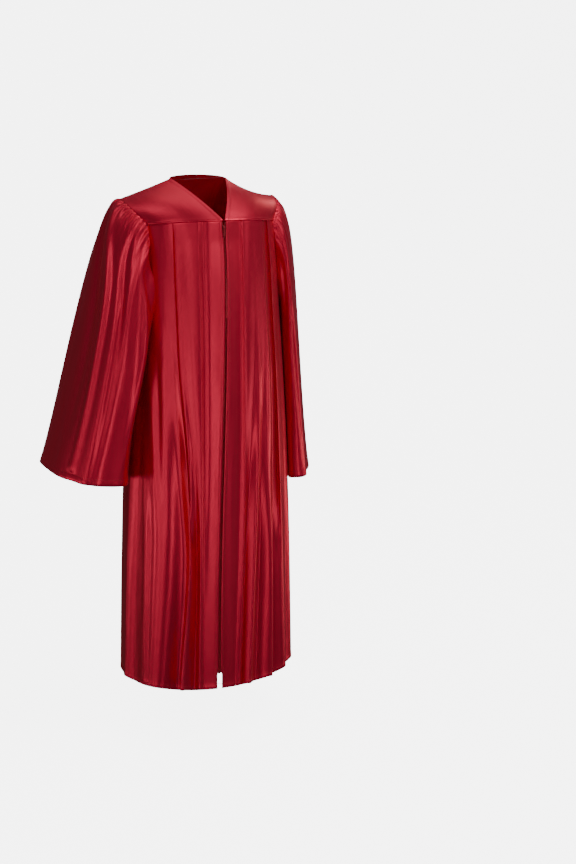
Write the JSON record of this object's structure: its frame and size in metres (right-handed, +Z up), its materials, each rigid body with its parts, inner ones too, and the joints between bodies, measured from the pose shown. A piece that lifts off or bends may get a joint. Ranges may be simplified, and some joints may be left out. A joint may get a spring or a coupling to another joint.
{
  "type": "graduation gown",
  "caption": "Full-length satin graduation gown in its worn, hollow form: yoke, pressed pleats, gathered bell sleeves, V neck and front zip.",
  "frame": {"origin": "middle of the neck opening, level with the points where the two shoulder seams meet the neck, where the wearer's shoulders carry the gown", "axes": "+Z up, the front faces -Y, +X is the wearer's left"},
  "size_m": [0.7467, 0.4564, 1.2854],
  "materials": {
    "satin": "shiny deep red polyester satin",
    "zip_tape": "dark red woven tape",
    "zip_teeth": "dark red nylon coil",
    "zip_metal": "red lacquered zinc"
  },
  "bodies": {
    "gown": {"front_right": "satin", "front_left": "satin", "back": "satin", "yoke_front_right": "satin", "yoke_front_left": "satin", "yoke_back": "satin", "sleeve_right": "satin", "sleeve_left": "satin", "zip_tape_right": "zip_tape", "zip_tape_left": "zip_tape", "zip_chain": "zip_teeth", "zip_stop": "zip_metal", "zip_slider": "zip_metal"},
    "pull_tab": {"zip_pull_tab": "zip_metal"}
  },
  "joints": [
    {"name": "pull_tab_hinge", "type": "hinge", "parent": "gown", "child": "pull_tab", "pos_m": [0.00357, -0.17047, -0.106], "axis": [-1, 0, 0], "range_deg": [0, 150]}
  ]
}
